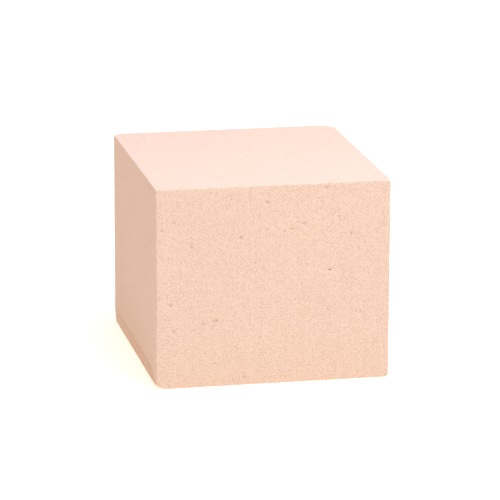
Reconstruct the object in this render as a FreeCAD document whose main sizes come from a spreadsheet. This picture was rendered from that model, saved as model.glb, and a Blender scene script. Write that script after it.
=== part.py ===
import FreeCAD, Part
import Sketcher
import os

# Floral foam brick: one solid block of rigid open-cell foam, cut square.
#
# Row frame, millimetres: +Z is up, +X runs along the width to the right side and
# +Y runs along the depth to the back. The origin is on the base, midway along the
# width and the depth, so the block stands on Z = 0.

# Each row of the sheet: alias, value in mm, what it is.
DIMENSIONS = [
    ("width", 92.0, "left side to right side"),
    ("depth", 100.0, "front face to back face"),
    ("height", 79.0, "base to top"),
    ("back_right_round", 5.5, "upright edge at the back right, the softest one"),
    ("back_left_round", 3.0, "upright edge at the back left"),
    ("front_right_round", 0.8, "upright edge at the front right"),
    ("front_left_round", 0.6, "upright edge at the front left, nearly sharp"),
    ("base_arris", 0.5, "broken edge all round the base"),
    ("top_arris", 0.4, "broken edge all round the top"),
]

SHEET_NAME = "sizes"
NODE_NAME = "foam_block"
PARTS_FOLDER = "parts"
ON_PLANE = 1e-4    # how near a corner must lie to count as on a plane, mm


def make_sheet(doc):
    """The driving dimensions, one row each: what it is, then its value."""
    sheet = doc.addObject("Spreadsheet::Sheet", SHEET_NAME)
    for row, (alias, value, meaning) in enumerate(DIMENSIONS, start=1):
        sheet.set(f"A{row}", meaning)
        sheet.set(f"B{row}", str(value))
        sheet.setAlias(f"B{row}", alias)
    doc.recompute()
    return sheet


def origin_plane(body, role):
    """One of the body's own three origin planes."""
    for feature in body.Origin.OriginFeatures:
        if feature.Role == role:
            return feature
    raise ValueError(f"{body.Name} has no {role}")


def add_centred_rectangle(body, sheet):
    """The block's plan: a rectangle centred on the origin, width by depth."""
    sketch = body.newObject("Sketcher::SketchObject", "plan")
    sketch.AttachmentSupport = [(origin_plane(body, "XY_Plane"), "")]
    sketch.MapMode = "FlatFace"

    half_width = sheet.width / 2
    half_depth = sheet.depth / 2
    corners = [
        FreeCAD.Vector(-half_width, -half_depth, 0),
        FreeCAD.Vector(half_width, -half_depth, 0),
        FreeCAD.Vector(half_width, half_depth, 0),
        FreeCAD.Vector(-half_width, half_depth, 0),
    ]
    for index, corner in enumerate(corners):
        next_corner = corners[(index + 1) % len(corners)]
        sketch.addGeometry(Part.LineSegment(corner, next_corner), False)

    front, right, back, left = range(4)
    start_point, end_point = 1, 2
    sketch_origin = (-1, 1)
    add = sketch.addConstraint
    for line, following in ((front, right), (right, back), (back, left), (left, front)):
        add(Sketcher.Constraint("Coincident", line, end_point, following, start_point))
    for line in (front, back):
        add(Sketcher.Constraint("Horizontal", line))
    for line in (right, left):
        add(Sketcher.Constraint("Vertical", line))
    add(Sketcher.Constraint("Symmetric", front, start_point, right, end_point, *sketch_origin))
    across = add(Sketcher.Constraint("DistanceX", front, start_point, front, end_point, sheet.width))
    along = add(Sketcher.Constraint("DistanceY", right, start_point, right, end_point, sheet.depth))
    sketch.renameConstraint(across, "width")
    sketch.renameConstraint(along, "depth")
    sketch.setExpression("Constraints.width", f"{SHEET_NAME}.width")
    sketch.setExpression("Constraints.depth", f"{SHEET_NAME}.depth")
    return sketch


def edges_where(shape, test):
    """Names of the edges whose every corner passes the test."""
    return [
        f"Edge{number}"
        for number, edge in enumerate(shape.Edges, start=1)
        if all(test(vertex.Point) for vertex in edge.Vertexes)
    ]


def round_edges(body, base, name, test, alias):
    """A fillet on the named feature's chosen edges, its radius taken from the sheet."""
    chosen = edges_where(base.Shape, test)
    if not chosen:
        raise ValueError(f"{name}: no edge was found to round")
    fillet = body.newObject("PartDesign::Fillet", name)
    fillet.Base = (base, chosen)
    fillet.setExpression("Radius", f"{SHEET_NAME}.{alias}")
    body.Document.recompute()
    return fillet


def near(value, target):
    return abs(value - target) < ON_PLANE


def make_foam_block(doc, sheet):
    """The block: a pad of its plan, then its upright edges, base edge and top edge broken."""
    body = doc.addObject("PartDesign::Body", NODE_NAME)
    body.Label = NODE_NAME
    plan = add_centred_rectangle(body, sheet)
    pad = body.newObject("PartDesign::Pad", "cut_block")
    pad.Profile = plan
    pad.setExpression("Length", f"{SHEET_NAME}.height")
    plan.Visibility = False
    doc.recompute()

    left, right = -sheet.width / 2, sheet.width / 2
    front, back = -sheet.depth / 2, sheet.depth / 2
    upright_edges = [
        ("back_right_round", right, back),
        ("back_left_round", left, back),
        ("front_right_round", right, front),
        ("front_left_round", left, front),
    ]
    feature = pad
    for alias, side, end in upright_edges:
        feature = round_edges(
            body, feature, alias + "_edge",
            lambda point: near(point.x, side) and near(point.y, end), alias,
        )
    feature = round_edges(
        body, feature, "base_edge", lambda point: near(point.z, 0), "base_arris",
    )
    feature = round_edges(
        body, feature, "top_edge", lambda point: near(point.z, sheet.height), "top_arris",
    )
    body.Tip = feature
    body.Placement = FreeCAD.Placement()
    doc.recompute()
    return body


def check_document(doc, bodies, sheet):
    """Stop before writing anything if an object failed or a solid is the wrong size."""
    for item in doc.Objects:
        if "Invalid" in item.State or "Error" in item.State:
            raise RuntimeError(f"{item.Name} failed: {item.State}")
    for body in bodies:
        shape = body.Shape
        if shape.isNull() or not shape.isValid() or len(shape.Solids) != 1:
            raise RuntimeError(f"{body.Label} isn't one valid solid")
    box = bodies[0].Shape.optimalBoundingBox(False, False)
    wanted = (sheet.width, sheet.depth, sheet.height)
    for measured, size in zip((box.XLength, box.YLength, box.ZLength), wanted):
        if abs(measured - size) > 0.01:
            raise RuntimeError(f"the block measures {measured}, not {size}")


def main():
    doc = FreeCAD.newDocument("floral_foam_brick")
    sheet = make_sheet(doc)
    bodies = [make_foam_block(doc, sheet)]
    check_document(doc, bodies, sheet)

    os.makedirs(PARTS_FOLDER, exist_ok=True)
    for body in bodies:
        body.Shape.exportStep(os.path.join(PARTS_FOLDER, body.Label + ".step"))
        volume_cm3 = body.Shape.Volume / 1000
        print(f"{body.Label}: {volume_cm3:.2f} cm3, {len(body.Shape.Faces)} faces")


main()
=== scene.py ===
import math
import random

import bpy
from mathutils import Matrix, Vector, noise


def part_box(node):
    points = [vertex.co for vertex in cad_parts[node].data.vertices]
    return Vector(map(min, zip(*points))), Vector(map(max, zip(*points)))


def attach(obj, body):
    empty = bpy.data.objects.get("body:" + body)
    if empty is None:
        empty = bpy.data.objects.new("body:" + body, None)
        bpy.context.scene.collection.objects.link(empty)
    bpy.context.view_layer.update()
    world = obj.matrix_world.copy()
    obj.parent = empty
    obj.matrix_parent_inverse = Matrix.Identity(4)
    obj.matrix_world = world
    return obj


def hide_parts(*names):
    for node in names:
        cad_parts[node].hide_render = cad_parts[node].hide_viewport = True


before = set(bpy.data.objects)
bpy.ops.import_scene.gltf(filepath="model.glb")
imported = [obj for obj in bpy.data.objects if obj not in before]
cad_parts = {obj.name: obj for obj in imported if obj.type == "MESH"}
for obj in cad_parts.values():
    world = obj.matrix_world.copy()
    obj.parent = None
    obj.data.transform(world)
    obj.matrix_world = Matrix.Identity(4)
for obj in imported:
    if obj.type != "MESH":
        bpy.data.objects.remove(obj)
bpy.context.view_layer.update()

# A brick of rigid floral foam. The block's mesh is worked out in millimetres, in the
# row frame, and is turned into metres when it becomes a Blender object.

MM = 0.001
NODE = "foam_block"

block_low, block_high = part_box(NODE)
LOW = block_low / MM
HIGH = block_high / MM
HALF_WIDTH = (HIGH.x - LOW.x) / 2
HALF_DEPTH = (HIGH.y - LOW.y) / 2
HEIGHT = HIGH.z - LOW.z


# ---------------------------------------------------------------- the block's form

# Radius of each upright edge, mm, by side (-1 left, 1 right) and end (-1 front, 1 back).
UPRIGHT_ROUNDS = {(1, 1): 5.5, (-1, 1): 3.0, (1, -1): 0.8, (-1, -1): 0.6}
TOP_ARRIS = 0.42              # radius of the edge round the top, mm
BASE_ARRIS = 0.5              # the same round the base
BASE_ARRIS_RIGHT = 1.4        # the same where the base's edge faces right
FACES_RIGHT = (0.2, 0.95)     # outward x where it starts to count as facing right, and fully

# How an edge's radius wanders along its length, because foam edges crumble.
CRUMBLE_FINE = 0.35           # how much it changes over short stretches, as a share
CRUMBLE_COARSE = 0.45         # the same over long stretches
CRUMBLE_COARSENESS = 6        # how many times longer the long stretches are
CRUMBLE_SHIFT = Vector((9, 4, 7))    # which part of the noise the long stretches read
UPRIGHT_CRUMBLE = 1.4         # length of a short stretch on an upright edge, mm
ARRIS_CRUMBLE = 1.1           # the same round the top and the base
CRISP_ROUND = 1.0             # only upright edges with a smaller radius than this crumble, mm
EDGE_READ_AT = 20             # where the noise is read for an upright edge, mm out along x and y

# Worn corners: side and end as above with 1 for the top or 0 for the base, then how far
# the wear reaches along x, y and z, mm.
WORN_CORNERS = [
    ((-1, -1, 0), (2.9, 7.5, 2.5)),
    ((-1, 1, 1), (2.6, 2.6, 1.7)),
    ((1, 1, 1), (3.4, 3.4, 1.3)),
    ((1, -1, 1), (1.3, 1.6, 1.1)),
    ((1, -1, 0), (1.1, 1.2, 1.0)),
    ((-1, 1, 0), (2.0, 2.0, 1.8)),
]
WEAR_SOFTNESS = 0.3           # how gradually a worn slope starts, mm
WEAR_REACH = 4                # the wear is felt down to this many times as deep as that
WEAR_ROUGHNESS = 0.12         # how uneven the slope is, mm
WEAR_GRAIN = 0.9              # size of its unevenness, mm

# The foot of the left face is pressed in, below a faint crease. All in mm.
PRESSED_HEIGHT = 6.7          # the crease's height above the base, along most of the face
PRESSED_HEIGHT_FRONT = 2.2    # its height where it meets the front face
PRESSED_TAPER = 11.0          # from the front face to where the crease is at its full height
PRESSED_DEPTH = 0.5           # how far in the foot's lowest line lies
PRESSED_WIDTH = 4.0           # how far from the left side the base still follows


def smooth_step(value, low, high):
    """From 0 at low to 1 at high, with no sudden start or stop."""
    share = min(1.0, max(0.0, (value - low) / (high - low)))
    return share * share * (3 - 2 * share)


def crumble(point, size):
    """How many times its usual radius an edge has at a place: about 1."""
    fine = noise.noise(point / size)
    coarse = noise.noise(point / (size * CRUMBLE_COARSENESS) + CRUMBLE_SHIFT)
    return 1 + CRUMBLE_FINE * fine + CRUMBLE_COARSE * coarse


def round_uprights(point):
    """Carry a point of the square-cornered block onto the block with rounded upright edges."""
    side = 1 if point.x > 0 else -1
    end = 1 if point.y > 0 else -1
    radius = UPRIGHT_ROUNDS[side, end]
    if radius < CRISP_ROUND:
        place = Vector((side * EDGE_READ_AT, end * EDGE_READ_AT, point.z))
        radius *= crumble(place, UPRIGHT_CRUMBLE)
    centre = Vector((side * (HALF_WIDTH - radius), end * (HALF_DEPTH - radius)))
    reach = Vector(((point.x - centre.x) * side, (point.y - centre.y) * end))
    if min(reach) <= 0:
        return point.copy()
    reach *= max(reach) / reach.length
    return Vector((centre.x + side * reach.x, centre.y + end * reach.y, point.z))


def plan_edge(point):
    """How far a point lies inside the rounded plan, and which way that plan's edge faces."""
    side = 1 if point.x > 0 else -1
    end = 1 if point.y > 0 else -1
    radius = UPRIGHT_ROUNDS[side, end]
    reach_x = abs(point.x) - (HALF_WIDTH - radius)
    reach_y = abs(point.y) - (HALF_DEPTH - radius)
    if reach_x > 0 and reach_y > 0:
        length = math.hypot(reach_x, reach_y)
        return max(0.0, radius - length), Vector((side * reach_x, end * reach_y, 0)) / length
    if HALF_WIDTH - abs(point.x) < HALF_DEPTH - abs(point.y):
        return HALF_WIDTH - abs(point.x), Vector((side, 0, 0))
    return HALF_DEPTH - abs(point.y), Vector((0, end, 0))


def break_arris(point):
    """Round the edge round the top and the one round the base."""
    inset, outward = plan_edge(point)
    if point.z > HEIGHT / 2:
        drop = HIGH.z - point.z
        radius = TOP_ARRIS
        inward_z = -1
    else:
        drop = point.z - LOW.z
        rightward = smooth_step(outward.x, *FACES_RIGHT)
        radius = BASE_ARRIS + (BASE_ARRIS_RIGHT - BASE_ARRIS) * rightward
        inward_z = 1
    radius *= crumble(point, ARRIS_CRUMBLE)
    if inset >= radius or drop >= radius:
        return point
    reach = Vector((radius - inset, radius - drop))
    scale = max(reach) / reach.length
    moved_in = radius - reach.x * scale - inset
    moved_z = radius - reach.y * scale - drop
    return point - outward * moved_in + Vector((0, 0, inward_z * moved_z))


def press_left_foot(point):
    """Lean the foot of the left face inwards."""
    full = smooth_step(point.y, LOW.y, LOW.y + PRESSED_TAPER)
    crease = PRESSED_HEIGHT_FRONT + (PRESSED_HEIGHT - PRESSED_HEIGHT_FRONT) * full
    below_crease = max(0.0, 1 - (point.z - LOW.z) / crease)
    leftward = smooth_step(-point.x, HALF_WIDTH - PRESSED_WIDTH, HALF_WIDTH)
    return point + Vector((PRESSED_DEPTH * below_crease * leftward, 0, 0))


def wear_corners(point):
    """Cut each worn corner back to a soft, slightly rough slope."""
    for (side, end, level), (along_x, along_y, along_z) in WORN_CORNERS:
        up = 1 if level else -1
        corner = Vector((side * HALF_WIDTH, end * HALF_DEPTH, HIGH.z if level else LOW.z))
        slope = Vector((side / along_x, end / along_y, up / along_z))
        outward = slope.normalized()
        on_slope = corner - Vector((side * along_x, 0, 0))
        uneven = WEAR_ROUGHNESS * noise.noise(point / WEAR_GRAIN)
        proud = (point - on_slope).dot(outward) + uneven
        if proud > -WEAR_REACH * WEAR_SOFTNESS:
            kept = -WEAR_SOFTNESS * math.log(1 + math.exp(-proud / WEAR_SOFTNESS))
            point = point + outward * (kept - proud)
    return point


def form(point):
    """Where a point of the plain sharp box lies on the real block."""
    return wear_corners(press_left_foot(break_arris(round_uprights(point))))


# ---------------------------------------------------------------- the block's mesh

# The mesh is a grid over each face, closer near the edges. A pore is a small crater that
# takes the place of one cell of the grid, or of a square of cells.

# Each face: name, axis across it, axis up it, axis out of it, which end of that axis,
# and how rough its cut is: 1 for the sawn front, less for the others.
FACES = [
    ("front", 0, 2, 1, -1, 1.0),
    ("back", 0, 2, 1, 1, 0.9),
    ("left", 1, 2, 0, -1, 0.45),
    ("right", 1, 2, 0, 1, 0.55),
    ("top", 0, 1, 2, 1, 0.4),
    ("base", 0, 1, 2, -1, 0.7),
]

EDGE_ROWS = (0.0, 0.14, 0.3, 0.5, 0.85)    # grid lines near an edge, mm from it
FACE_STEP = 1.05     # about how far apart the other grid lines are, mm
JITTER = 0.3         # how far a grid point may stray, as a share of the step
PORE_JITTER = 0.06   # the same for the points round a pore

# Pores, by kind: smallest and largest radius in mm, how many in 100 square centimetres
# of a sawn face, depth as a share of the radius, points round the rim, and the side of
# the square of cells that each takes.
PORE_KINDS = [
    (0.3, 0.42, 2, 0.8, 12, 3),
    (0.2, 0.3, 30, 0.7, 9, 2),
    (0.12, 0.22, 900, 0.8, 6, 1),
]
HUNDRED_CM2 = 10000         # that area in square millimetres
SMOOTH_FACE_SHARE = 0.35    # share of those pores that even a smooth face has
PORE_TRIES = 8              # how many places are tried for a pore before it is left out
PORE_STRETCH = (0.87, 1.15) # a pore's length as a share of a round one's, least and most
PORE_DRIFT = 0.06           # how far a pore may lie from its cells' middle, mm for each cell
POINT_DRIFT = 0.12          # how far a ring's point may stray, as a share of the way to the next

# The rings of points in a crater: size and depth as shares of the pore's own, how uneven
# the ring is, how dark its painted shade is, and how many of the rim's points go to one of the
# ring's.
RIM_RING = (1.0, 0.0, 0.07, 0.15, 1)
WALL_RING = (0.72, 0.6, 0.06, 0.75, 1)
FLOOR_RING = (0.38, 0.95, 0.1, 1.0, 2)

VOID_RIM = 12       # points round a void's rim
VOID_CELLS = 3      # the side of the square of cells that a void takes
VOID_TURN = 0.15    # how far a void may be turned from level, radians

# The clearest voids of the front face: share of the width from the left, share of the
# height from the base, then half length, half height and depth in mm. The first is a slit.
FRONT_VOIDS = [
    (0.74, 0.564, 0.85, 0.25, 0.75),
    (0.471, 0.914, 0.36, 0.25, 0.6),
    (0.628, 0.803, 0.27, 0.24, 0.55),
    (0.576, 0.779, 0.22, 0.22, 0.4),
    (0.719, 0.975, 0.27, 0.25, 0.45),
    (0.358, 0.746, 0.28, 0.25, 0.6),
    (0.828, 0.742, 0.24, 0.25, 0.45),
    (0.06, 0.421, 0.27, 0.27, 0.55),
    (0.075, 0.291, 0.28, 0.26, 0.55),
    (0.374, 0.042, 0.28, 0.25, 0.5),
    (0.256, 0.334, 0.24, 0.24, 0.6),
    (0.15, 0.709, 0.22, 0.2, 0.5),
    (0.077, 0.833, 0.26, 0.24, 0.5),
    (0.024, 0.796, 0.24, 0.24, 0.55),
]

SWELL = 0.035       # slow rise and fall of a face, mm
SWELL_SIZE = 14     # how far it is from a rise to a fall, mm
SWELL_SHIFT = Vector((3, 1, 5))    # which part of the noise is read
GRAIN = 0.008       # unevenness from point to point, mm


def grid_lines(low, high):
    """Where the grid's lines lie along one axis."""
    inner_low, inner_high = low + EDGE_ROWS[-1], high - EDGE_ROWS[-1]
    steps = round((inner_high - inner_low) / FACE_STEP)
    middle = [inner_low + (inner_high - inner_low) * step / steps for step in range(1, steps)]
    return [low + row for row in EDGE_ROWS] + middle + [high - row for row in reversed(EDGE_ROWS)]


LINES = [grid_lines(LOW[axis], HIGH[axis]) for axis in range(3)]


class Pore:
    """An uneven oval crater, in its face's own two directions."""

    def __init__(self, a, b, half_length, half_height, turn, depth, rim):
        self.a, self.b = a, b
        self.half_length, self.half_height = half_length, half_height
        self.turn = turn
        self.depth = depth
        self.rim = rim

    def ring(self, scale, count, chance, wobble):
        """Uneven places round the pore's centre, at about scale times its size."""
        start = chance.uniform(0, math.tau)
        cos_turn, sin_turn = math.cos(self.turn), math.sin(self.turn)
        for step in range(count):
            drift = chance.uniform(-POINT_DRIFT, POINT_DRIFT)
            angle = start + math.tau * (step + drift) / count
            uneven = scale * chance.uniform(1 - wobble, 1 + wobble)
            x = self.half_length * uneven * math.cos(angle)
            y = self.half_height * uneven * math.sin(angle)
            yield self.a + x * cos_turn - y * sin_turn, self.b + x * sin_turn + y * cos_turn


class Face:
    """One face of the sharp box, and its own grid."""

    def __init__(self, name, across, up, out, end, roughness):
        self.name = name
        self.across, self.up, self.out = across, up, out
        self.roughness = roughness
        self.out_line = len(LINES[out]) - 1 if end > 0 else 0
        self.columns = len(LINES[across]) - 1
        self.rows = len(LINES[up]) - 1
        swapped = (out - across) % 3 != 2
        self.reversed = swapped == (end > 0)
        self.chance = random.Random(f"face {name}")

    def key(self, column, row):
        """The grid point's number along each of the three axes, which faces share."""
        numbers = [0, 0, 0]
        numbers[self.across] = column
        numbers[self.up] = row
        numbers[self.out] = self.out_line
        return tuple(numbers)

    def point(self, a, b):
        """The place on the sharp box that is a across this face and b up it."""
        place = Vector((0, 0, 0))
        place[self.across] = a
        place[self.up] = b
        place[self.out] = LINES[self.out][self.out_line]
        return place

    def is_middle(self, column, row):
        """True away from the close rows along the face's edges."""
        close = len(EDGE_ROWS)
        return close <= column <= self.columns - close and close <= row <= self.rows - close

    def grid_point(self, column, row, jitter):
        """A grid point's place, moved by chance unless it is near the face's edges."""
        a, b = LINES[self.across][column], LINES[self.up][row]
        if self.is_middle(column, row):
            a += self.chance.uniform(-jitter, jitter) * FACE_STEP
            b += self.chance.uniform(-jitter, jitter) * FACE_STEP
        return self.point(a, b)

    def cell_at(self, a, b):
        """The grid cell that holds a place."""
        column = sum(line <= a for line in LINES[self.across]) - 1
        row = sum(line <= b for line in LINES[self.up]) - 1
        return column, row


def square_of_cells(column, row, side):
    """The cells of a square, from its first column and row."""
    return [(column + i, row + j) for i in range(side) for j in range(side)]


def place_front_voids(face, taken):
    """The front face's clearest voids, each with the cells that it takes."""
    width, height = HALF_WIDTH * 2, HEIGHT
    for share_a, share_b, half_length, half_height, depth in FRONT_VOIDS:
        a = LOW[face.across] + share_a * width
        b = LOW[face.up] + share_b * height
        column, row = face.cell_at(a, b)
        first = (column - VOID_CELLS // 2, row - VOID_CELLS // 2)
        taken.update(square_of_cells(*first, VOID_CELLS))
        turn = face.chance.uniform(-VOID_TURN, VOID_TURN)
        pore = Pore(a, b, half_length, half_height, turn, depth, VOID_RIM)
        yield pore, first, VOID_CELLS


def place_pores(face, taken):
    """A face's other pores, scattered by chance, largest kind first. The front has voids
    of its own instead of the largest kind."""
    chance = face.chance
    first_column = first_row = len(EDGE_ROWS)
    cell_area = FACE_STEP * FACE_STEP / HUNDRED_CM2
    face_area = face.columns * face.rows * cell_area
    share = SMOOTH_FACE_SHARE + (1 - SMOOTH_FACE_SHARE) * face.roughness
    kinds = PORE_KINDS[1:] if face.name == "front" else PORE_KINDS
    for smallest, largest, count, depth_share, rim, side in kinds:
        for _ in range(round(count * face_area * share)):
            for _ in range(PORE_TRIES):
                column = chance.randint(first_column, face.columns - first_column - side)
                row = chance.randint(first_row, face.rows - first_row - side)
                cells = square_of_cells(column, row, side)
                if not taken.intersection(cells):
                    break
            else:
                continue
            taken.update(cells)
            across, up = LINES[face.across], LINES[face.up]
            radius = smallest + (largest - smallest) * chance.random() ** 2
            stretch = chance.uniform(*PORE_STRETCH)
            drift = PORE_DRIFT * side
            a = (across[column] + across[column + side]) / 2 + chance.uniform(-drift, drift)
            b = (up[row] + up[row + side]) / 2 + chance.uniform(-drift, drift)
            turn = chance.uniform(0, math.pi)
            depth = radius * depth_share
            pore = Pore(a, b, radius * stretch, radius / stretch, turn, depth, rim)
            yield pore, (column, row), side


class BlockMesh:
    """Points and triangles gathered face by face; faces share the points on their edges."""

    def __init__(self):
        self.points = []
        self.depths = []
        # Painted shade inside the craters, by point.
        self.pores = []
        self.roughness = []
        self.triangles = []
        self.grid = {}

    def add_point(self, point, roughness, depth=0.0, pore=0.0):
        """Store a point, how deep it is to be sunk and how much painted shade it gets in a pore.
        """
        self.points.append(point)
        self.roughness.append(roughness)
        self.depths.append(depth)
        self.pores.append(pore)
        return len(self.points) - 1

    def grid_number(self, face, column, row, jitter=JITTER):
        """A grid point's number in the mesh. The point is made when it is first asked for."""
        key = face.key(column, row)
        if key not in self.grid:
            point = face.grid_point(column, row, jitter)
            self.grid[key] = self.add_point(point, face.roughness)
        return self.grid[key]

    def add_triangle(self, face, first, second, third):
        """One triangle, turned so that it faces outwards."""
        corners = (first, third, second) if face.reversed else (first, second, third)
        self.triangles.append(corners)

    def add_cell(self, face, column, row):
        """Two triangles, split along the cell's shorter diagonal."""
        corners = [
            self.grid_number(face, column + i, row + j)
            for i, j in ((0, 0), (1, 0), (1, 1), (0, 1))
        ]
        places = [self.points[number] for number in corners]
        if (places[1] - places[3]).length < (places[0] - places[2]).length:
            corners = corners[1:] + corners[:1]
        self.add_triangle(face, corners[0], corners[1], corners[2])
        self.add_triangle(face, corners[0], corners[2], corners[3])

    def around(self, face, pore, numbers, start=0.0):
        """A ring's points in order round the pore, from the angle start, then its first again."""
        placed = []
        for number in numbers:
            point = self.points[number]
            angle = math.atan2(point[face.up] - pore.b, point[face.across] - pore.a)
            placed.append((start + (angle - start) % math.tau, number))
        placed.sort()
        first_angle, first = placed[0]
        return placed + [(first_angle + math.tau, first)]

    def stitch(self, face, pore, outer_numbers, inner_numbers):
        """Triangles between two rings of points round the same pore."""
        outer = self.around(face, pore, outer_numbers)
        inner_start = outer[0][0] - math.pi / len(inner_numbers)
        inner = self.around(face, pore, inner_numbers, inner_start)
        i = j = 0
        while i + 1 < len(outer) or j + 1 < len(inner):
            outer_middle = outer[i][0] + outer[i + 1][0] if i + 1 < len(outer) else math.inf
            inner_middle = inner[j][0] + inner[j + 1][0] if j + 1 < len(inner) else math.inf
            here, there = outer[i][1], inner[j][1]
            if outer_middle <= inner_middle:
                i += 1
                self.add_triangle(face, here, outer[i][1], there)
            else:
                j += 1
                self.add_triangle(face, here, inner[j][1], there)

    def add_ring(self, face, pore, size, depth_share, wobble, shade, thinning):
        """The points of one of a crater's rings."""
        depth = pore.depth * depth_share
        return [
            self.add_point(face.point(a, b), face.roughness, depth, shade)
            for a, b in pore.ring(size, pore.rim // thinning, face.chance, wobble)
        ]

    def add_pore(self, face, pore, first, side):
        """A crater: the square of cells round it, its rings, and its deepest point. The
        smallest craters have no ring but the rim."""
        column, row = first
        square = [(column + i, row) for i in range(side)]
        square += [(column + side, row + i) for i in range(side)]
        square += [(column + side - i, row + side) for i in range(side)]
        square += [(column, row + side - i) for i in range(side)]
        outer = [self.grid_number(face, *place, PORE_JITTER) for place in square]
        kinds_of_ring = (RIM_RING, WALL_RING, FLOOR_RING) if side > 1 else (RIM_RING,)
        rings = [self.add_ring(face, pore, *kind) for kind in kinds_of_ring]
        for ring in rings:
            self.stitch(face, pore, outer, ring)
            outer = ring
        centre = self.add_point(face.point(pore.a, pore.b), face.roughness, pore.depth, 1.0)
        innermost = self.around(face, pore, outer)
        for (_, here), (_, following) in zip(innermost, innermost[1:]):
            self.add_triangle(face, here, following, centre)

    def add_face(self, face):
        """A face's pores, then plain cells in the rest of its grid."""
        taken = set()
        pores = list(place_front_voids(face, taken)) if face.name == "front" else []
        pores += place_pores(face, taken)
        for pore, first, side in pores:
            self.add_pore(face, pore, first, side)
        for column in range(face.columns):
            for row in range(face.rows):
                if (column, row) not in taken:
                    self.add_cell(face, column, row)

    def finish(self, name):
        """The mesh object: the form first, then relief and pores sunk along its normals."""
        formed = [form(point) for point in self.points]
        mesh = bpy.data.meshes.new(name)
        mesh.from_pydata(formed, [], self.triangles)
        mesh.update()
        normals = [vertex.normal.copy() for vertex in mesh.vertices]
        chance = random.Random("relief")
        for number, point in enumerate(formed):
            swell = (1 + noise.noise(point / SWELL_SIZE + SWELL_SHIFT)) / 2
            grain = self.roughness[number] * chance.random()
            sunk = self.depths[number] + SWELL * swell + GRAIN * grain
            mesh.vertices[number].co = (point - normals[number] * sunk) * MM
        # The pore attribute holds the painted shade inside the craters.
        for attribute, values in (("pore", self.pores), ("roughness_of_cut", self.roughness)):
            layer = mesh.attributes.new(attribute, "FLOAT", "POINT")
            layer.data.foreach_set("value", values)
        mesh.shade_smooth()
        mesh.update()
        block = bpy.data.objects.new(name, mesh)
        bpy.context.scene.collection.objects.link(block)
        return block


def make_block():
    """The whole foam block, as one object."""
    building = BlockMesh()
    for description in FACES:
        building.add_face(Face(*description))
    return building.finish("foam_brick")


# ---------------------------------------------------------------- the foam's material

FOAM_LIGHT = (0.985, 0.755, 0.6, 1)
FOAM_DARK = (0.77, 0.48, 0.33, 1)
# The dark colour of the painted shade in pores and pinholes.
PORE_SHADE_COLOUR = (0.50, 0.27, 0.17, 1)

CELL_SIZE = 0.42 * MM
GRAIN_SIZE = 0.34 * MM
SPECK_SIZE = 1.5 * MM
MOTTLE_SIZE = 11 * MM
STREAKS = (1100, 1100, 14)    # how fast the streaks change across and up, for each metre

# In a cell, 0 is its centre and 1 is one cell's size from it.
PIT_RADIUS = (0.05, 0.62)     # of the smallest and the largest pits
PIT_CHANCE = (0.1, 1.0)       # the cell's own chance number at which a pit has those radii
PIT_EDGE = (-0.08, 0.22)      # where the pit's side starts and ends, inwards from its radius

# The same for the pinholes.
SPECK_RADIUS = (0.0, 0.15)
SPECK_CHANCE = (0.6, 1.0)
SPECK_EDGE = (0.0, 0.05)

# How far each moves the foam's tone, where 0 is its darkest and 1 its lightest.
# Painted shade: how much darker the pits are drawn.
PIT_SHADE_TONE = 0.6
GRAIN_TONE = 3.8
MOTTLE_TONE = 0.12
STREAK_TONE = 0.2
# Painted shade on the pressed foot, and a darker line of it at the crease.
FOOT_SHADE_TONE = 0.22
CREASE_SHADE_TONE = 0.1
MIDDLE_TONE = 0.5             # the tone before any of these
NOISE_MIDDLE = 0.5            # a noise value that leaves the tone as it is
PIT_MIDDLE = 0.2              # how deep in a pit the tone stays as it is
HOLE_SHADE_TONE = 0.3               # how much of the pores' painted shade shows in a pore or pinhole

# The painted shade on the pressed foot, in metres.
CREASE_WANDER = 0.8 * MM      # how far the crease strays over the length of a grain
CREASE_SWAY = 2.5 * MM        # how far it strays over longer stretches
CREASE_EDGE = (-0.3 * MM, 0.5 * MM)    # how far below the crease the darkness starts and is full
CREASE_FADE = (0.6 * MM, 2.4 * MM)     # how far below it the crease's own darkness fades
FOOT_SIDE = (0.9 * MM, 2.5 * MM)       # how far in from the left side the darkness fades
FOOT_AT_BACK = 0.5                     # how much of the darkness is left at the back

BUMP_STRENGTH = 0.5
BUMP_DEPTH = 0.08 * MM
SURFACE_ROUGHNESS = (0.86, 0.98)       # outside the pits, and in them
SPECULAR_LEVEL = 0.08


class Nodes:
    """A short way to add linked nodes to a material or world."""

    def __init__(self, owner):
        owner.use_nodes = True
        self.tree = owner.node_tree
        self.tree.nodes.clear()

    def add(self, kind, settings=None, **inputs):
        """A node with its settings, and its inputs by name, with _ for a space."""
        node = self.tree.nodes.new(kind)
        for key, value in (settings or {}).items():
            setattr(node, key, value)
        for key, value in inputs.items():
            self.set(node, key.replace("_", " "), value)
        return node

    def set(self, node, socket, value):
        """Link or set the input that has this name or number."""
        target = node.inputs[int(socket) if socket.isdigit() else socket]
        if isinstance(value, bpy.types.NodeSocket):
            self.tree.links.new(value, target)
        else:
            target.default_value = value

    def attribute(self, name):
        """A number that the mesh holds at each of its points."""
        return self.add("ShaderNodeAttribute", {"attribute_name": name}).outputs["Fac"]

    def scaled(self, value, middle, scale):
        """How far a value is from a middle one, times a scale."""
        return self.math("MULTIPLY", self.math("SUBTRACT", value, middle), scale)

    def math(self, operation, first, second=0.0):
        """One step of arithmetic on two numbers or links."""
        node = self.tree.nodes.new("ShaderNodeMath")
        node.operation = operation
        self.set(node, "0", first)
        self.set(node, "1", second)
        return node.outputs[0]

    def ramp(self, value, low, high, to_low=0.0, to_high=1.0):
        """From to_low, where the value is low, to to_high, where it is high."""
        node = self.add("ShaderNodeMapRange", {"interpolation_type": "SMOOTHSTEP"})
        for socket, number in enumerate((value, low, high, to_low, to_high)):
            self.set(node, str(socket), number)
        return node.outputs[0]

    def mix(self, factor, first, second):
        """A colour between two others."""
        node = self.add("ShaderNodeMix", {"data_type": "RGBA", "blend_type": "MIX"})
        self.set(node, "0", factor)
        self.set(node, "6", first)
        self.set(node, "7", second)
        return node.outputs[2]


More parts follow.
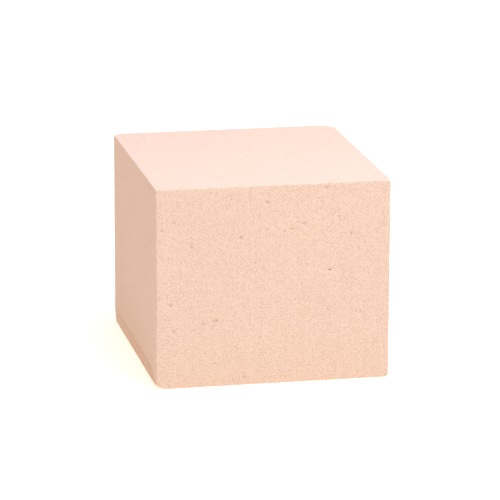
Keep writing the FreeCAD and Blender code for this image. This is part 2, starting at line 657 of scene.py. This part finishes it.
def pressed_foot(nodes, place, grain, mottle):
    """How much darker the left face's foot is drawn, as painted shade, most of all in a line
    at the crease. It fades towards the back."""
    position = nodes.add("ShaderNodeSeparateXYZ", Vector=place)
    across, along, up = position.outputs
    taper_end = (LOW.y + PRESSED_TAPER) * MM
    crease = nodes.ramp(
        along, LOW.y * MM, taper_end, PRESSED_HEIGHT_FRONT * MM, PRESSED_HEIGHT * MM,
    )
    for unevenness, reach in ((grain, CREASE_WANDER), (mottle, CREASE_SWAY)):
        crease = nodes.math("ADD", crease, nodes.scaled(unevenness, NOISE_MIDDLE, reach))
    below = nodes.math("SUBTRACT", crease, up)
    in_foot = nodes.ramp(below, *CREASE_EDGE)
    foot_shade = nodes.math("MULTIPLY", in_foot, FOOT_SHADE_TONE)
    crease_shade = nodes.math("MULTIPLY", in_foot, CREASE_SHADE_TONE)
    crease_shade = nodes.math("MULTIPLY", crease_shade, nodes.ramp(below, *CREASE_FADE, 1.0, 0.0))
    left = LOW.x * MM
    side = nodes.ramp(across, left + FOOT_SIDE[0], left + FOOT_SIDE[1], 1.0, 0.0)
    fading = nodes.ramp(along, 0.0, HIGH.y * MM, 1.0, FOOT_AT_BACK)
    darker = nodes.math("ADD", foot_shade, crease_shade)
    return nodes.math("MULTIPLY", nodes.math("MULTIPLY", darker, side), fading)


def foam_material():
    """Matte foam with cut cells, powdery grain, pinholes, mottle and saw streaks."""
    material = bpy.data.materials.new("floral_foam")
    nodes = Nodes(material)
    place = nodes.add("ShaderNodeTexCoord").outputs["Object"]
    rough_cut = nodes.attribute("roughness_of_cut")
    # The mesh's painted shade inside its craters.
    pore = nodes.attribute("pore")

    # The foam's own cells, cut open: pits of different sizes, drawn darker inside as painted
    # shade.
    cells = nodes.add(
        "ShaderNodeTexVoronoi", {"feature": "F1"}, Vector=place, Scale=1 / CELL_SIZE,
    )
    cell_chance = nodes.add("ShaderNodeSeparateColor", Color=cells.outputs["Color"]).outputs[0]
    pit_radius = nodes.ramp(cell_chance, *PIT_CHANCE, *PIT_RADIUS)
    into_pit = nodes.math("SUBTRACT", pit_radius, cells.outputs["Distance"])
    pit = nodes.ramp(into_pit, *PIT_EDGE)

    # The uneven powdery grain of the walls between them.
    grain = nodes.add(
        "ShaderNodeTexNoise", Vector=place, Scale=1 / GRAIN_SIZE, Detail=2.0, Roughness=0.65,
    ).outputs["Fac"]

    # Pinholes: here and there a larger cell, cut through its middle.
    specks = nodes.add(
        "ShaderNodeTexVoronoi", {"feature": "F1"}, Vector=place, Scale=1 / SPECK_SIZE,
    )
    speck_chance = nodes.add("ShaderNodeSeparateColor", Color=specks.outputs["Color"]).outputs[1]
    speck_radius = nodes.ramp(speck_chance, *SPECK_CHANCE, *SPECK_RADIUS)
    into_speck = nodes.math("SUBTRACT", speck_radius, specks.outputs["Distance"])
    speck = nodes.ramp(into_speck, *SPECK_EDGE)

    # Slow changes of tone where the foam is a little denser.
    mottle = nodes.add(
        "ShaderNodeTexNoise", Vector=place, Scale=1 / MOTTLE_SIZE, Detail=3.0, Roughness=0.6,
    ).outputs["Fac"]

    # Fine upright streaks that the saw leaves on the cut faces.
    stretched = nodes.add("ShaderNodeMapping", Vector=place, Scale=STREAKS)
    streaks = nodes.add(
        "ShaderNodeTexNoise", Vector=stretched.outputs[0], Scale=1.0, Detail=2.0,
    ).outputs["Fac"]

    # From 0, the darkest foam, to 1, the lightest. Only the rough faces show it all.
    # The pits' darkness is painted shade; the grain, streaks and mottle are the foam's own tone.
    pit_shade = nodes.scaled(pit, PIT_MIDDLE, -PIT_SHADE_TONE)
    grained = nodes.scaled(grain, NOISE_MIDDLE, GRAIN_TONE)
    streaked = nodes.scaled(streaks, NOISE_MIDDLE, STREAK_TONE)
    mottled = nodes.scaled(mottle, NOISE_MIDDLE, MOTTLE_TONE)
    texture = nodes.math("ADD", nodes.math("ADD", pit_shade, grained), streaked)
    texture = nodes.math("MULTIPLY", texture, rough_cut)
    lightness = nodes.math("ADD", nodes.math("ADD", texture, mottled), MIDDLE_TONE)
    # Painted shade on the left face's foot and along its crease.
    lightness = nodes.math("SUBTRACT", lightness, pressed_foot(nodes, place, grain, mottle))
    colour = nodes.mix(lightness, FOAM_DARK, FOAM_LIGHT)
    # Painted shade: pinholes and pores are drawn towards a dark colour.
    for hole in (speck, pore):
        colour = nodes.mix(nodes.math("MULTIPLY", hole, HOLE_SHADE_TONE), colour, PORE_SHADE_COLOUR)

    height = nodes.math("MULTIPLY", nodes.math("SUBTRACT", grain, pit), rough_cut)
    height = nodes.math("SUBTRACT", height, speck)
    bump = nodes.add(
        "ShaderNodeBump", Strength=BUMP_STRENGTH, Distance=BUMP_DEPTH, Height=height,
    )

    surface = nodes.add(
        "ShaderNodeBsdfPrincipled", Base_Color=colour, Normal=bump.outputs[0],
        Roughness=nodes.ramp(pit, 0.0, 1.0, *SURFACE_ROUGHNESS),
    )
    surface.inputs["Specular IOR Level"].default_value = SPECULAR_LEVEL
    nodes.add("ShaderNodeOutputMaterial", Surface=surface.outputs[0])
    return material


# ---------------------------------------------------------------- floor, light, camera

FLOOR_RADIUS = 12.0
FLOOR_POINTS = 96
FLOOR_COLOUR = (0.62, 0.62, 0.62, 1)
FLOOR_GLOW = 0.7
FLOOR_GLOW_COLOUR = (1.0, 0.862, 0.655, 1)    # warm

WHITE = (1, 1, 1, 1)
ALL_ROUND = 0.143                             # brightness of the tent's walls
OVERHEAD = 2.27                               # brightness of its roof, straight above
OVERHEAD_NARROWNESS = 4                       # how fast that falls off towards the sides
OVERHEAD_COLOUR = (0.805, 0.828, 1.0, 1)      # cool
SOFTBOX_PLACE = Vector((0.15, -0.25, 0.6))
SOFTBOX_SIZE = 0.44
SOFTBOX_POWER = 2.73
SOFTBOX_COLOUR = (0.766, 0.871, 1.0)          # cool


def make_floor():
    """A plain disc, far wider than any view of the block, which glows, so it looks white."""
    angles = [math.tau * step / FLOOR_POINTS for step in range(FLOOR_POINTS)]
    points = [
        (FLOOR_RADIUS * math.cos(angle), FLOOR_RADIUS * math.sin(angle), 0) for angle in angles
    ]
    mesh = bpy.data.meshes.new("floor")
    mesh.from_pydata(points, [], [list(range(FLOOR_POINTS))])
    floor = bpy.data.objects.new("floor", mesh)
    bpy.context.scene.collection.objects.link(floor)
    material = bpy.data.materials.new("floor")
    nodes = Nodes(material)
    matte = nodes.add("ShaderNodeBsdfDiffuse", Color=FLOOR_COLOUR)
    glow = nodes.add("ShaderNodeEmission", Color=FLOOR_GLOW_COLOUR, Strength=FLOOR_GLOW)
    both = nodes.add("ShaderNodeAddShader")
    nodes.set(both, "0", matte.outputs[0])
    nodes.set(both, "1", glow.outputs[0])
    nodes.add("ShaderNodeOutputMaterial", Surface=both.outputs[0])
    mesh.materials.append(material)


def make_tent():
    """A tent round the block: dim at its sides, bright and slightly cool overhead. The
    camera sees it plain white."""
    world = bpy.data.worlds.new("tent")
    bpy.context.scene.world = world
    nodes = Nodes(world)
    direction = nodes.add("ShaderNodeTexCoord").outputs["Generated"]
    height = nodes.add("ShaderNodeSeparateXYZ", Vector=direction).outputs["Z"]
    above = nodes.math("POWER", nodes.math("MAXIMUM", height, 0.0), OVERHEAD_NARROWNESS)
    brightness = nodes.math("MULTIPLY", above, OVERHEAD)
    overhead = nodes.add("ShaderNodeBackground", Color=OVERHEAD_COLOUR, Strength=brightness)
    around = nodes.add("ShaderNodeBackground", Color=WHITE, Strength=ALL_ROUND)
    lit = nodes.add("ShaderNodeAddShader")
    nodes.set(lit, "0", overhead.outputs[0])
    nodes.set(lit, "1", around.outputs[0])
    seen = nodes.add("ShaderNodeBackground", Color=WHITE, Strength=1.0)
    ray = nodes.add("ShaderNodeLightPath").outputs["Is Camera Ray"]
    either = nodes.add("ShaderNodeMixShader")
    nodes.set(either, "0", ray)
    nodes.set(either, "1", lit.outputs[0])
    nodes.set(either, "2", seen.outputs[0])
    nodes.add("ShaderNodeOutputWorld", Surface=either.outputs[0])


def make_softbox():
    """One round softbox, high up at the front and a little to the right."""
    data = bpy.data.lights.new("softbox", "AREA")
    data.shape = "DISK"
    data.size = SOFTBOX_SIZE
    data.energy = SOFTBOX_POWER
    data.color = SOFTBOX_COLOUR
    softbox = bpy.data.objects.new("softbox", data)
    softbox.visible_camera = False
    softbox.location = SOFTBOX_PLACE
    aim = Vector((0, 0, HEIGHT * MM / 2)) - SOFTBOX_PLACE
    softbox.rotation_euler = aim.to_track_quat("-Z", "Y").to_euler()
    bpy.context.scene.collection.objects.link(softbox)


CAMERA_PLACE = Vector((-0.2548, -1.2319, 0.3696))
CAMERA_TURN = math.radians(11.731)     # from straight ahead towards the right
CAMERA_TILT = math.radians(14.658)     # below the horizon
CAMERA_ROLL = math.radians(0.222)
CAMERA_LENS = 234.56                   # mm
CAMERA_SENSOR = 36.0                   # mm


def make_camera():
    """The camera at the photographer's place."""
    data = bpy.data.cameras.new("camera")
    data.lens = CAMERA_LENS
    data.sensor_width = CAMERA_SENSOR
    camera = bpy.data.objects.new("camera", data)
    bpy.context.scene.collection.objects.link(camera)
    turn = Matrix.Rotation(-CAMERA_TURN, 4, "Z")
    tilt = Matrix.Rotation(math.pi / 2 - CAMERA_TILT, 4, "X")
    roll = Matrix.Rotation(CAMERA_ROLL, 4, "Z")
    camera.matrix_world = Matrix.Translation(CAMERA_PLACE) @ turn @ tilt @ roll
    bpy.context.scene.camera = camera


# ---------------------------------------------------------------- putting it together

block = make_block()
block.data.materials.append(foam_material())
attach(block, "root")
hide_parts(NODE)

make_floor()
make_tent()
make_softbox()
make_camera()
bpy.context.scene.view_settings.view_transform = "Standard"
